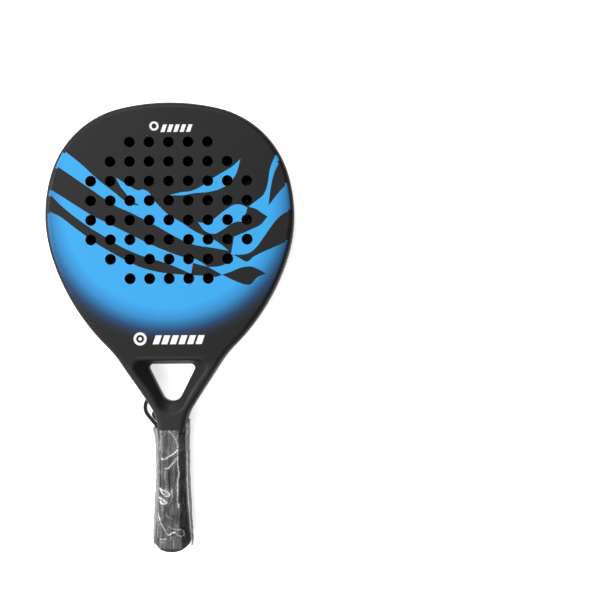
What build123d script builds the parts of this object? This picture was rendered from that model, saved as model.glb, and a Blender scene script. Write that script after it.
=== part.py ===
"""Padel racket: a moulded tube frame, a foam core under two drilled face skins, and a bound handle.

The racket lies on its back face. X runs across it, +Y points at the tip of the head and +Z comes
out of the front face. A station is a distance in mm from the tip, down the racket's length.
"""
import os
from math import atan2, cos, degrees, pi, radians, sin, sqrt, tan

from build123d import *

# Overall size
LENGTH = 455.0
DEPTH = 38.0                        # thickness of the head
MID = DEPTH / 2
SPAN = 150.0                        # further out than anything across the racket
TOUCH = 0.001                       # two things this close meet
LEVEL = 0.7                         # an edge whose direction rises less than this isn't upright

# Right half of the plan, from the tip: (radius, turn in degrees), negative turns clockwise
HEAD_ARCS = [(214, -13.4), (96.5, -59.5), (142, -34.1), (221, -28.3)]
THROAT_ARC = (100, 12.5)            # hollow curve where the head runs into the arms
NECK_RADIUS = 45.0                  # hollow curve where the arms run into the neck
NECK_HALF_WIDTH = 14.3
NECK_HALF_DEPTH = 13.4
NECK_END = 334.0                    # shoulder that the grip stops against
TAPER = (256.0, 302.0)              # stations over which the head's depth falls to the neck's
EDGE_RADIUS = 6.0                   # rounding of the frame's outer edges

# Frame, throat and skins
TUBE_WIDTH = 14.0
WALL = 2.0
SKIN = 1.0
BRIDGE_TOP = 246.0                  # where the foam core stops and the bridge starts
SKIN_END = 255.5
SKIN_CORNER = 5.0
OPENING_TOP = 264.8
OPENING_APEX = 316.5                # where the two sides of the opening would meet
OPENING_HALF_WIDTH = 25.9
OPENING_RADII = (4.0, 11.0)         # upper corners, lower corner
OPENING_WALL = 5.0                  # half height of its upright wall, between the slopes
MOUTH = (5.0, 13.0, 20.2)           # width of the slopes round it: bridge, arms, neck
MOUTH_CORNER = 8.0
MOUTH_EDGE = 4.0                    # rounding of the slopes' edges
BRIDGE_CORNER = 7.0                 # how far the bridge runs down beside the opening

# Drilled field, rows from the tip
HOLE_ROWS = [5, 7, 9, 9, 9, 9, 7, 5]
HOLE_PITCH = 19.6
HOLE_RADIUS = 5.25
FIELD_CENTRE = 109.5

# Handle; an octagon is (width, depth, leg of the corner bevel)
SHAFT = (23.0, 22.0, 4.0)
SHAFT_END = 431.0
LIMB_GAP = 4.0                      # foam strip between the two limbs of the shaft
FILLER_START = 312.0
GRIP = 1.75
GRIP_END = 444.0
FLARE_START = 382.0
FLARE = (9.5, 2.5, 2.0)             # growth in width, depth and bevel at the grip's end
FLARE_POWER = 1.6
FLARE_STEPS = 4
TRIM_BAND = (336.0, 354.0)
TRIM = 0.35

# Butt cap
CAP_START = 398.0
DOME_RADIUS = 24.7                  # of the cap's end, in plan
DOME_REACH = 22.2                   # half the width that the dome is drawn to
CAP_EDGE = 2.0
POCKET = (20.0, 14.0, 3.0)          # width, height and corner radius of the end's recess
POCKET_FLOOR = (443.5, 446.0)
SLOT = (9.6, 4.8, 2.3)              # through the recess's floor, for the cord
CHAMBER = (19.0, 17.0)              # room for the knot behind the floor

# Wrist cord: (x, station, z) from the knot, round the butt, up behind the handle, round the loop
# at the left of the neck, and back the same way
CORD = 4.0
KNOT = (13.0, 8.0, 11.0)            # across, along and through
KNOT_EDGE = 2.0
BEND_SHARE = 0.45                   # of the shorter run beside it that a bend takes up
CORD_OUT = [(-2.4, 443.5, 19.0), (-2.4, 452.5, 19.0), (-2.9, 458.6, 11.5), (-3.0, 457.2, 3.1),
            (-3.1, 448.6, 2.7), (-2.9, 435.0, 3.0), (-3.3, 410.0, 3.6), (-3.2, 382.0, 4.0),
            (-4.4, 363.0, 3.8), (-8.2, 348.0, 3.7), (-15.0, 336.2, 3.4), (-22.8, 326.8, 3.1)]
CORD_LOOP = [(-32.0, 316.0, 3.0), (-31.0, 305.6, 3.1), (-25.0, 299.8, 3.3), (-16.5, 303.0, 3.3),
             (-15.5, 309.5, 3.2)]
CORD_BACK = [(-24.2, 318.6, 3.2), (-18.7, 324.8, 3.2), (-11.6, 333.4, 3.4), (-4.6, 341.5, 3.6),
             (0.2, 350.0, 3.8), (2.6, 362.0, 3.9), (3.6, 384.0, 4.0), (3.1, 412.0, 3.5),
             (3.3, 435.0, 2.9), (3.1, 448.4, 2.7), (3.0, 457.2, 3.1), (2.9, 458.6, 11.5),
             (2.4, 452.5, 19.0), (2.4, 443.5, 19.0)]

# Clear sleeve over the handle: (station, left, right, lowest, highest)
FILM = 0.3
FILM_CORNER = 3.0
FILM_SECTIONS = [(330.5, -23.4, 17.2, 0.5, 34.4), (346.0, -18.8, 17.2, 0.7, 34.2),
                 (396.0, -18.2, 18.0, 0.6, 34.4), (451.0, -21.4, 20.8, 0.2, 35.2)]


def at(station):
    """Y of a station."""
    return LENGTH / 2 - station


# Plan outlines

def prism(face, low=0.0, high=DEPTH):
    """Upright solid on a plan face."""
    return extrude(Pos(0, 0, low) * face, high - low)


def chain(start, heading, arcs):
    """Tangent arcs from a start point, with the point and heading that they end at."""
    edges = []
    for radius, turn in arcs:
        edges.append(JernArc(start, heading, radius, turn))
        start, heading = edges[-1] @ 1, edges[-1] % 1
    return edges, start, heading


def mirrored_face(edges):
    """Plan face from the right half of its outline."""
    half = Curve() + edges
    return make_face(Wire([*half.edges(), *mirror(half, Plane.YZ).edges()]))


def head_edges(inset):
    """Right half of the head's outline, a distance inside the frame's outer edge."""
    arcs = [(radius - inset, turn) for radius, turn in HEAD_ARCS]
    return chain((0, at(inset)), (1, 0), arcs)


def below(station):
    """Everything in plan from a station down."""
    return Pos(0, at(station) - SPAN) * Rectangle(2 * SPAN, 2 * SPAN)


def head_face(inset, end):
    """Head inside the frame's edge, cut straight across at a station."""
    edges, point, heading = head_edges(inset)
    side = Line(point, point + heading * (point.X / -heading.X))
    return mirrored_face([*edges, side]) - below(end)


def outline_face(inset):
    """Head, arms and neck, ended square at the shoulder."""
    edges, point, heading = head_edges(inset)
    radius, turn = THROAT_ARC
    hollow, point, heading = chain(point, heading, [(radius + inset, turn)])
    lean = atan2(-heading.X, -heading.Y)
    bend = NECK_RADIUS + inset
    fall = point.X - (NECK_HALF_WIDTH - inset) - bend * (1 - cos(lean))
    arm = Line(point, point + heading * (fall / sin(lean)))
    neck, point, _ = chain(arm @ 1, heading, [(bend, degrees(lean))])
    end = (point.X, at(NECK_END - inset))
    return mirrored_face([*edges, *hollow, arm, *neck, Line(point, end), Line(end, (0, end[1]))])


def wedge_face(top):
    """Triangle between the arms from a station down, with its lower corner rounded."""
    half = OPENING_HALF_WIDTH * (OPENING_APEX - top) / (OPENING_APEX - OPENING_TOP)
    corners = [(-half, at(top)), (half, at(top)), (0, at(OPENING_APEX))]
    face = make_face(Polyline(*corners, close=True))
    return fillet(face.vertices().sort_by(Axis.Y)[0], OPENING_RADII[1])


def opening_face(grow=0.0):
    """Rounded triangle between the bridge and the arms."""
    face = wedge_face(OPENING_TOP)
    face = fillet(face.vertices().sort_by(Axis.Y)[-2:], OPENING_RADII[0])
    return offset(face, grow) if grow else face


def inner_face():
    """All that lies inside the frame's tube: core, bridge and opening."""
    return head_face(TUBE_WIDTH, OPENING_TOP - 1) + wedge_face(BRIDGE_TOP)


def mouth_face(grow=0.0):
    """Outline of the slopes round the opening, on the head's front plane."""
    over, aside, under = (width + grow for width in MOUTH)
    lean = atan2(OPENING_HALF_WIDTH, OPENING_APEX - OPENING_TOP)
    sharpness = 1 / sin(lean) - 1
    apex = OPENING_APEX + aside / sin(lean)
    bottom = OPENING_APEX - OPENING_RADII[1] * sharpness + under
    top = OPENING_TOP - over
    half = (apex - top) * tan(lean)
    face = make_face(Polyline((-half, at(top)), (half, at(top)), (0, at(apex)), close=True))
    face = fillet(face.vertices().sort_by(Axis.Y)[0], (apex - bottom) / sharpness)
    return fillet(face.vertices().sort_by(Axis.Y)[-2:], MOUTH_CORNER + grow)


def bridge_face():
    """The bridge, between the core and the opening."""
    return (inner_face() & below(BRIDGE_TOP)) - below(OPENING_TOP + BRIDGE_CORNER)


# The moulding that the frame and the bridge are cut from

def side_solid(inset):
    """Depth of the moulding along its length, as a solid wider than the racket."""
    fall = MID - NECK_HALF_DEPTH
    run = TAPER[1] - TAPER[0]
    radius = (run ** 2 + fall ** 2) / (4 * fall)
    turn = degrees(2 * atan2(fall, run))
    height = MID - inset
    start = Line((at(inset), height), (at(TAPER[0]), height))
    curve, point, _ = chain(start @ 1, (-1, 0), [(radius, turn), (radius, -turn)])
    end = Line(point, (at(NECK_END - inset), point.Y))
    top = Curve() + [start, *curve, end]
    bottom = mirror(top, Plane.XZ)
    caps = [Line(start @ 0, ((start @ 0).X, -height)), Line(end @ 1, ((end @ 1).X, -point.Y))]
    face = make_face(Wire([*top.edges(), *bottom.edges(), *[cap.edge() for cap in caps]]))
    return extrude(Pos(0, 0, MID) * (Plane.YZ * face), SPAN, both=True)


def outer_rims(solid, end):
    """Front and back edges of a moulding's upright walls, those of its square end left out."""
    walls = [face for face in solid.faces()
             if abs(face.normal_at().Z) < TOUCH and face.center().Y > end + TOUCH]
    return [edge for wall in walls for edge in wall.edges() if abs((edge % 0.5).Z) < LEVEL]


def slopes_solid(inset):
    """Cutter for the slopes that lead into the opening, front and back."""
    wall = opening_face(inset)
    front = loft([Pos(0, 0, MID + OPENING_WALL - inset / 2) * wall, Pos(0, 0, DEPTH) * mouth_face(inset)],
                 ruled=True)
    return front + mirror(front, Plane.XY.offset(MID))


def slope_rims(solid, slopes):
    """Edges round the slopes, without the seams that run down them."""
    rims = [edge for edge in solid.edges() if slopes.distance_to(edge @ 0.5) < TOUCH]
    return [edge for edge in rims if abs((edge @ 0).Z - (edge @ 1).Z) < OPENING_WALL]


def moulding(inset):
    """Head, arms and neck with the throat opening through them and their edges rounded."""
    body = prism(outline_face(inset)) & side_solid(inset)
    body = fillet(outer_rims(body, at(NECK_END - inset)), EDGE_RADIUS - inset)
    slopes = slopes_solid(inset)
    body -= prism(opening_face(inset)) + slopes
    return fillet(slope_rims(body, slopes), MOUTH_EDGE - inset)


# The handle

def octagon(size, station, inset=0.0):
    """Upright section of the handle, facing the butt."""
    width, depth, leg = size
    half, rise = width / 2 - inset, depth / 2 - inset
    leg -= inset * (2 - sqrt(2))
    corner = [(half, rise - leg), (half - leg, rise)]
    points = corner + [(-x, z) for x, z in corner[::-1]]
    points += [(-x, -z) for x, z in points]
    plane = Plane(origin=(0, at(station), MID), x_dir=(1, 0, 0), z_dir=(0, -1, 0))
    return plane * make_face(Polyline(*points, close=True))


def shaft_solid(start, inset=0.0):
    """Bare octagonal shaft from a station to its end."""
    return extrude(octagon(SHAFT, start, inset), SHAFT_END - inset - start)


def grip_size(station):
    """Outer octagon of the bound handle."""
    along = max(0.0, (station - FLARE_START) / (GRIP_END - FLARE_START)) ** FLARE_POWER
    width, depth, leg = SHAFT
    legs = leg + GRIP * (2 - sqrt(2))
    sizes = (width + 2 * GRIP, depth + 2 * GRIP, legs)
    return [size + growth * along for size, growth in zip(sizes, FLARE)]


def bound_solid(start, inset=0.0):
    """Handle with its flare, from a station to the grip's end."""
    flare = max(start, FLARE_START)
    steps = [flare + (GRIP_END - flare) * i / FLARE_STEPS for i in range(FLARE_STEPS + 1)]
    if start < flare:
        steps.insert(0, start)
    return loft([octagon(grip_size(station), station, inset) for station in steps], ruled=True)


def handle_box(width, start, end):
    """Box down the racket's axis, through its whole depth."""
    return Pos(0, at((start + end) / 2), MID) * Box(width, end - start, 2 * DEPTH)


def recess(face, start, end):
    """Straight pocket along the handle's axis, from a face drawn across it."""
    return extrude(Plane(origin=(0, at(start), MID), x_dir=(1, 0, 0), z_dir=(0, -1, 0)) * face, end - start)


# Sub-parts

def holes():
    """Drilled field, row by row."""
    first = FIELD_CENTRE - HOLE_PITCH * (len(HOLE_ROWS) - 1) / 2
    spots = [Pos(HOLE_PITCH * (i - (count - 1) / 2), at(first + HOLE_PITCH * row))
             for row, count in enumerate(HOLE_ROWS) for i in range(count)]
    return extrude(Sketch() + [spot * Circle(HOLE_RADIUS) for spot in spots], DEPTH)


def skins():
    """Face sheets, front and back, let into the frame and the bridge."""
    face = head_face(EDGE_RADIUS, SKIN_END)
    corners = face.vertices().sort_by(Axis.Y)[:2]
    face = fillet(corners, SKIN_CORNER)
    return prism(face, DEPTH - SKIN, DEPTH), prism(face, 0, SKIN)


def frame_and_filler():
    """Hollow perimeter tube whose two ends lie side by side in the handle, and the foam between."""
    outer = moulding(0) + shaft_solid(NECK_END - WALL)
    hollow = moulding(WALL) + shaft_solid(NECK_END - 2 * WALL - EDGE_RADIUS, WALL)
    filler = hollow & handle_box(LIMB_GAP, FILLER_START, SHAFT_END)
    tubes = hollow - prism(offset(inner_face(), WALL))
    tubes -= handle_box(LIMB_GAP + 2 * WALL, FILLER_START - WALL, SHAFT_END)
    return outer - prism(inner_face()) - tubes - filler, filler


def throat_bridge():
    """Hollow cross-piece that closes the bottom of the head."""
    inside = moulding(WALL) & prism(offset(bridge_face(), -WALL))
    return (moulding(0) & prism(bridge_face())) - inside


def foam_core():
    """Foam block that fills the head between the skins."""
    return prism(head_face(TUBE_WIDTH, BRIDGE_TOP), SKIN, DEPTH - SKIN)


def dome_face():
    """Plan of the cap's rounded end, wider than the handle."""
    end, reach = at(LENGTH), DOME_REACH
    rise = DOME_RADIUS - sqrt(DOME_RADIUS ** 2 - reach ** 2)
    left, right = (-reach, end + rise), (reach, end + rise)
    arc = ThreePointArc(left, (0, end), right)
    sides = Polyline(right, (reach, end + SPAN), (-reach, end + SPAN), left)
    return make_face(Curve() + [arc, sides])


def butt_cap():
    """Flared end cap: a socket for the shaft, a chamber for the knot and a slotted pocket."""
    rim = extrude(octagon(grip_size(GRIP_END), GRIP_END), LENGTH - GRIP_END) & prism(dome_face())
    rim = fillet(rim.faces().sort_by(Axis.Y)[0].edges(), CAP_EDGE)
    cap = bound_solid(CAP_START, GRIP) + rim
    cap -= shaft_solid(CAP_START)
    cap -= recess(Rectangle(*CHAMBER), SHAFT_END, POCKET_FLOOR[0])
    cap -= recess(RectangleRounded(*SLOT), *POCKET_FLOOR)
    return cap - recess(RectangleRounded(*POCKET), POCKET_FLOOR[1], LENGTH)


def grip_tape():
    """Cushioned grip bound over the shaft and the skirt of the cap."""
    under = bound_solid(CAP_START, GRIP) + shaft_solid(NECK_END)
    return bound_solid(NECK_END) - under


def finishing_band():
    """Thin band that holds down the head end of the grip."""
    start, end = TRIM_BAND
    size = grip_size(start)
    outer, inner = octagon(size, start, -TRIM), octagon(size, start)
    return extrude(outer, end - start) - extrude(inner, end - start)


def cord_point(spot):
    """A point of the cord's route in the racket's frame."""
    x, station, z = spot
    return Vector(x, at(station), z)


def wrist_cord():
    """Looped cord, both ends meeting the knot; prints the radii of its bends."""
    route = [cord_point(spot) for spot in CORD_OUT + CORD_LOOP + CORD_BACK]
    runs = [b - a for a, b in zip(route, route[1:])]
    radii = []
    for one, two in zip(runs, runs[1:]):
        half_turn = radians(one.get_angle(two)) / 2
        radii.append(BEND_SHARE * min(one.length, two.length) / tan(half_turn))
    path = FilletPolyline(*route, radius=radii)
    start = Plane(origin=path @ 0, z_dir=path % 0)
    tube = sweep(start * Circle(CORD / 2), path=path)
    expected = pi * CORD ** 2 / 4 * path.length
    print("cord radii", [round(radius, 1) for radius in radii])
    print("cord length", round(path.length, 1), "volume ratio", round(tube.volume / expected, 4))
    return tube


def cord_knot():
    """Stopper knot of the cord's two ends, drawn against the pocket's floor."""
    across, along, through = KNOT
    knot = Pos(0, at(POCKET_FLOOR[0] - along / 2), MID) * Box(across, along, through)
    return fillet(knot.edges(), KNOT_EDGE)


def film_section(section, inset):
    """Section of the sleeve at one station."""
    station, left, right, low, high = section
    centre = ((left + right) / 2, at(station), (low + high) / 2)
    plane = Plane(origin=centre, x_dir=(1, 0, 0), z_dir=(0, -1, 0))
    width, height = right - left - 2 * inset, high - low - 2 * inset
    return plane * RectangleRounded(width, height, FILM_CORNER - inset)


def grip_film():
    """Open clear sleeve over the handle and the cord."""
    outer, inner = (loft([film_section(section, inset) for section in FILM_SECTIONS], ruled=True)
                    for inset in (0, FILM))
    return outer - inner


def build():
    """Every sub-part by name."""
    drill = holes()
    front, back = skins()
    frame, filler = frame_and_filler()
    return {
        "frame_tube": frame - front - back,
        "handle_filler": filler,
        "throat_bridge": throat_bridge() - front - back,
        "foam_core": foam_core() - drill,
        "front_face": front - drill,
        "back_face": back - drill,
        "butt_cap": butt_cap(),
        "grip_tape": grip_tape(),
        "finishing_band": finishing_band(),
        "cord_knot": cord_knot(),
        "wrist_cord": wrist_cord(),
        "grip_film": grip_film(),
    }


if __name__ == "__main__":
    os.makedirs("parts", exist_ok=True)
    for name, solid in build().items():
        export_step(solid, f"parts/{name}.step")
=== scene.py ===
"""Padel racket: the looks of each part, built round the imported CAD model. Metres, +Z up.

The racket lies on its back face with +Y at the tip of the head. A station is a distance in
millimetres from the tip, down the racket's length.
"""

from math import cos, exp, pi, radians, sin, sqrt, tau

import bmesh
import bpy
import numpy as np
from mathutils import Matrix, Vector, noise
from mathutils.geometry import delaunay_2d_cdt


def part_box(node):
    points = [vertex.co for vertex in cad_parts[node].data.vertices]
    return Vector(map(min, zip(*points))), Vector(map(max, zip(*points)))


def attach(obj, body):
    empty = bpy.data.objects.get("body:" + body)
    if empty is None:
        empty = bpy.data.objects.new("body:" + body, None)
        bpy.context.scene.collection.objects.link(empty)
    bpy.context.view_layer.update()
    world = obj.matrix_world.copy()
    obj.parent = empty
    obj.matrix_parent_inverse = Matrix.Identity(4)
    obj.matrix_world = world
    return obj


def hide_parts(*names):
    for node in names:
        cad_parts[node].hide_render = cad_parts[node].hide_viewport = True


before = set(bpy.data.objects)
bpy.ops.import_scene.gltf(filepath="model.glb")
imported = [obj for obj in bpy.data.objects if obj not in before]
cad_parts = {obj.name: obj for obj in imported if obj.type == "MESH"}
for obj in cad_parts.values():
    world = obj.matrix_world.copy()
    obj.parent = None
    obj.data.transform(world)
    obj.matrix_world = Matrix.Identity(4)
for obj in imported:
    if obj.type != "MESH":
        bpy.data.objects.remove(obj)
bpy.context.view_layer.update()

MM = 0.001
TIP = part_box("frame_tube")[1].y
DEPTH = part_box("frame_tube")[1].z
MID = DEPTH / 2

# Camera, in metres
LENS = 48.42
CAMERA_SPOT = (0.1311, 0.0272, 0.8476)
CAMERA_TURN = -0.3                  # degrees about Z

# Wrist cord: (x, station, z) in millimetres, the route that the CAD model has
CORD = 4.0
CORD_OUT = [(-2.4, 443.5, 19.0), (-2.4, 452.5, 19.0), (-2.9, 458.6, 11.5), (-3.0, 457.2, 3.1),
            (-3.1, 448.6, 2.7), (-2.9, 435.0, 3.0), (-3.3, 410.0, 3.6), (-3.2, 382.0, 4.0),
            (-4.4, 363.0, 3.8), (-8.2, 348.0, 3.7), (-15.0, 336.2, 3.4), (-22.8, 326.8, 3.1)]
CORD_LOOP = [(-32.0, 316.0, 3.0), (-31.0, 305.6, 3.1), (-25.0, 299.8, 3.3), (-16.5, 303.0, 3.3),
             (-15.5, 309.5, 3.2)]
CORD_BACK = [(-24.2, 318.6, 3.2), (-18.7, 324.8, 3.2), (-11.6, 333.4, 3.4), (-4.6, 341.5, 3.6),
             (0.2, 350.0, 3.8), (2.6, 362.0, 3.9), (3.6, 384.0, 4.0), (3.1, 412.0, 3.5),
             (3.3, 435.0, 2.9), (3.1, 448.4, 2.7), (3.0, 457.2, 3.1), (2.9, 458.6, 11.5),
             (2.4, 452.5, 19.0), (2.4, 443.5, 19.0)]
CORD_STEPS = 60                     # points of the drawn line between two of the route's
CORD_SIDES = 20
STRANDS = 6
BRAID_PITCH = 12.0
BRAID_RELIEF = 0.16
KNOT_STEPS = 160
KNOT_YARN = 1.9                     # radius of the cord as it is drawn up in the knot
KNOT_LOBES = (0.68, 0.32)           # middle and swing of the knot's reach

# Face sheets, in millimetres
SKIN = 1.0
HOLE_RADIUS = 5.25
HOLE_SIDES = 48
HOLE_CHAMFER = 0.3
CURVE_STEPS = 7
RIM = 2.0                           # how far the print runs past the sheet, onto the frame
RIM_DEPTHS = (0.18, 0.75)           # depths below a face between which that print fades out
PRINT_CENTRE = (-2.0, 124.0)        # of the printed field
PRINT_RADIUS = 140.0                # where the printed field has faded out

# Handle, in millimetres: (width, depth, leg of the bevel) of the bound octagon, its growth to the
# butt, and the turns of the tape
GRIP = (26.5, 25.5, 5.03)
GRIP_TAPE = 1.75
GRIP_START = 334.0
GRIP_END = 444.0
FLARE_START = 382.0
FLARE = (9.5, 2.5, 2.0)
FLARE_POWER = 1.6
GRIP_SIDES = 144
GRIP_STEP = 0.55
WRAP_PITCH = 25.0
WRAP_GROOVE = (0.55, 0.75)          # (depth, half width) of the groove between two turns
WRAP_CROWN = (0.22, 3.4)            # (drop, half width) of a turn's softly rounded edges
TAPE_ROUNDING = (0.6, 0.8)          # (depth, length) of the rounding at the tape's two ends
PORE_PITCH = 3.4
PORE_RADIUS = 13.6                  # of the round that the pores are laid out on
GRIP_GIRTH = 85.0

# Clear sleeve, in millimetres
FILM_START = 331.0
FILM_END = 450.5
FILM_SIDES = 250
FILM_RINGS = 300
FILM_WALL = 0.06
FILM_GAP = 0.75                     # over the front of the grip
FILM_RISE = (10.0, 6.0, 10.0)       # the right side is drawn up: (from which x, over what width, height)
NECK_EASE = (1.3, 339.0, 6.0)       # at the neck: (outward, from which station, over what length)
NECK_FROM = 6.0                     # height above which the sleeve is eased off the neck
FIN_GAP = 1.0                       # from the grip's side to the root of a pressed side
FIN_ROOT = 3.2                      # half height of a pressed side at its root
FIN_EDGE = 1.0                      # half height where its edge starts to round off
FIN_TAPER = 1.2                     # length of that rounding
FIN_SWAY = (1.6, 17.0)              # (height, length) of its wave
SEAM_EDGE = (0.6, 1.2)              # (distance from the grip's side, width) of its smoky start
POUCH = (9.0, 21.0)                 # (width, length) of the room for the cord at the lower left
FOLDS = (0.42, 4.5, 30.0)           # (height, cells from the middle, length) of the long folds
CRUMPLES = (0.40, 6.6, 11.0)        # (height, cells from the middle, length) of the crumples
CRUMPLE_LEAN = 19.0                 # length over which the crumples lean by a cell
# Whiteness of the fold crests: partly the film's stress whitening, partly painted highlight.
FOLD_WHITENESS_AND_HIGHLIGHT = 0.16
FLOOR_FLAT = (0.5, 3.0, 0.15)       # (start, height, least share) of the folds next to the floor
CREASE_LOSS = 0.6                   # how much fainter creases are on the pressed sides
HAZE = 0.125
# Painted shade: the haze's small share on the far bevel keeps that bevel dark, as if facing away from the
# light.
HAZE_ON_SHADED_BEVEL = 0.07                     # share of the haze on the far bevel
HAZE_EDGE = (1.2, 1.4)              # (start inside the front flat, width) of its change there

# Stage, in metres
SKY_SIDE = (-0.76, 0.10, 0.64)      # direction that the surround's light is strongest from
SKY = (0.05, 0.95, 0.02, 0.82)      # cosines to that direction, and the strengths at them
BACKDROP = 1.0                      # strength of the backdrop that the camera sees
FLOOR_REACH = 6.0
FLOOR_GLOW = 0.70
FLOOR_PALE = ((0.90, 0.90, 0.90), (0.92, 0.92, 0.92))
# Painted shade: the floor's colour under the head, where it also does not glow.
FLOOR_PAINTED_SHADE = (0.30, 0.30, 0.30)
HEAD_MIDDLE = 0.118                 # Y of the head's middle
GLOW_EDGE = (0.095, 0.118)          # distances from there over which the floor's glow comes in
# Soft boxes: name, place, width, power
LIGHTS = [("left", (-2.8, 0.4, 2.5), 2.0, 105.0), ("top", (-0.7, 2.5, 2.8), 2.0, 72.0),
          ("near", (-0.5, -1.9, 2.9), 1.6, 34.0)]


def bend(start, end, leave, enter, t):
    """Place at a share of the way along a curve that leaves and enters in two directions."""
    return ((2 * t ** 3 - 3 * t ** 2 + 1) * start + (t ** 3 - 2 * t ** 2 + t) * leave
            + (3 * t ** 2 - 2 * t ** 3) * end + (t ** 3 - t ** 2) * enter)


def at(station):
    """Y of a station."""
    return TIP - station * MM


def spot(x, station, z):
    """Point in metres of a place given in millimetres."""
    return Vector((x * MM, at(station), z * MM))


# Shared building steps

def add_piece(name, points, faces, material, nodes, crease=40):
    """Shown piece that stands for CAD nodes, smooth but for creases sharper than an angle."""
    mesh = bpy.data.meshes.new(name)
    mesh.from_pydata(points, [], faces)
    mesh.materials.append(material)
    mesh.shade_smooth()
    mesh.set_sharp_from_angle(angle=radians(crease))
    made = bpy.data.objects.new(name, mesh)
    bpy.context.scene.collection.objects.link(made)
    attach(made, "root")
    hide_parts(*nodes)
    return made


def grid_faces(rings, sides, closed=False):
    """Quads of a grid whose rows are rings, joined end to end if it is closed."""
    rows = rings if closed else rings - 1
    return [(r * sides + s, r * sides + (s + 1) % sides,
             (r + 1) % rings * sides + (s + 1) % sides, (r + 1) % rings * sides + s)
            for r in range(rows) for s in range(sides)]


def tube_rings(line, sides, radius):
    """Rings of points round a line; radius is a function of (length so far, angle)."""
    points = []
    side = Vector((0, 0, 1))
    travelled = 0.0
    for i, centre in enumerate(line):
        ahead = (line[min(i + 1, len(line) - 1)] - line[max(i - 1, 0)]).normalized()
        side = (side - ahead * side.dot(ahead)).normalized()
        other = ahead.cross(side)
        if i:
            travelled += (centre - line[i - 1]).length
        for s in range(sides):
            angle = tau * s / sides
            reach = radius(travelled, angle)
            points.append(centre + reach * (cos(angle) * side + sin(angle) * other))
    return points


# Materials

class Paint:
    """A material and its node tree, with short calls for the nodes that it needs."""

    def __init__(self, name, **sockets):
        self.material = bpy.data.materials.new(name)
        self.material.use_nodes = True
        self.tree = self.material.node_tree
        self.shader = self.tree.nodes["Principled BSDF"]
        for socket, value in sockets.items():
            self.shader.inputs[socket.replace("_", " ")].default_value = value

    def set(self, socket, value):
        """Links a value to one of the shader's sockets."""
        self.tree.links.new(value, self.shader.inputs[socket])

    def node(self, kind, inputs=(), **settings):
        """New node, its inputs given by index as values or sockets."""
        made = self.tree.nodes.new("ShaderNode" + kind)
        for name, value in settings.items():
            setattr(made, name, value)
        for place, value in dict(inputs).items():
            if isinstance(value, bpy.types.NodeSocket):
                self.tree.links.new(value, made.inputs[place])
            else:
                made.inputs[place].default_value = value
        return made

    def math(self, operation, first, second=0.0, clamp=False):
        """Result of a math node."""
        made = self.node("Math", {0: first, 1: second}, operation=operation, use_clamp=clamp)
        return made.outputs[0]

    def place(self):
        """Position on the racket."""
        return self.node("TexCoord").outputs["Object"]

    def axes(self):
        """X, Y and Z of the position."""
        return self.node("SeparateXYZ", {0: self.place()}).outputs

    def stretched(self, scale):
        """Position with its axes scaled."""
        return self.node("Mapping", {"Vector": self.place(), "Scale": scale}).outputs[0]

    def noise(self, scale, detail=3.0, vector=None, roughness=0.55):
        """Noise from 0 to 1 at a scale in cells to the metre."""
        inputs = {"Vector": vector or self.place(), "Scale": scale, "Detail": detail,
                  "Roughness": roughness}
        return self.node("TexNoise", inputs).outputs["Fac"]

    def cells(self, scale, vector=None, randomness=1.0):
        """Distance to the middle of the nearest cell."""
        inputs = {"Vector": vector or self.place(), "Scale": scale, "Randomness": randomness}
        return self.node("TexVoronoi", inputs).outputs["Distance"]

    def span(self, value, low, high, out_low=0.0, out_high=1.0):
        """Value mapped from one span to another, held within it."""
        inputs = {"Value": value, "From Min": low, "From Max": high, "To Min": out_low,
                  "To Max": out_high}
        return self.node("MapRange", inputs).outputs[0]

    def ramp(self, value, stops, interpolation="LINEAR"):
        """Colours along a value, from (place, colour) stops."""
        made = self.node("ValToRGB", {0: value})
        elements = made.color_ramp.elements
        made.color_ramp.interpolation = interpolation
        while len(elements) < len(stops):
            elements.new(0.5)
        for element, (place, colour) in zip(elements, stops):
            element.position = place
            element.color = (*colour, 1)
        return made.outputs[0]

    def blend(self, share, first, second):
        """Colour mixed from two."""
        made = self.node("Mix", {0: share}, data_type="RGBA")
        for place, value in ((6, first), (7, second)):
            if isinstance(value, bpy.types.NodeSocket):
                self.tree.links.new(value, made.inputs[place])
            else:
                made.inputs[place].default_value = (*value, 1)
        return made.outputs[2]

    def bump(self, height, depth, under=None):
        """Bumps of a depth in metres, over others if they are given."""
        inputs = {"Height": height, "Distance": depth, "Strength": 1.0}
        if under is not None:
            inputs["Normal"] = under
        return self.node("Bump", inputs).outputs[0]


CHARCOAL = (0.0060, 0.0060, 0.0062)
# The lacquer's lighter grey towards the arms is painted light: the arms catch more light than the head.
ARM_PAINTED_LIGHT = (0.0130, 0.0130, 0.0132)
ARM_LIGHT_SPAN = (0.010, -0.030)          # Y over which the frame's lacquer turns greyer, to the arms
WHITE = (0.72, 0.73, 0.74)
# Distance from the printed field's middle, as a share of its radius, and its colour
FIELD = [(0.74, (0.030, 0.300, 0.63)), (0.782, (0.026, 0.250, 0.56)), (0.825, (0.022, 0.195, 0.45)),
         (0.868, (0.011, 0.112, 0.26)), (0.911, (0.009, 0.038, 0.11)), (0.954, (0.008, 0.014, 0.027)),
         (0.996, CHARCOAL)]


def satin(name):
    """Satin lacquer: faint orange peel and rubbed patches."""
    paint = Paint(name, Specular_IOR_Level=0.20, Coat_Weight=0.04, Coat_Roughness=0.35)
    rubbed = paint.noise(26.0, 4.0)
    paint.set("Roughness", paint.span(rubbed, 0.3, 0.7, 0.44, 0.54))
    grain = paint.bump(paint.noise(2600.0, 2.0), 0.000012)
    paint.set("Normal", paint.bump(paint.noise(420.0, 2.0), 0.00002, grain))
    return paint


def charcoal_tone(paint):
    """Black of the lacquer, a little uneven."""
    tone = paint.noise(9.0, 3.0)
    darker = tuple(0.85 * value for value in CHARCOAL)
    lighter = tuple(1.15 * value for value in CHARCOAL)
    return paint.blend(paint.span(tone, 0.35, 0.65), darker, lighter)


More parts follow.
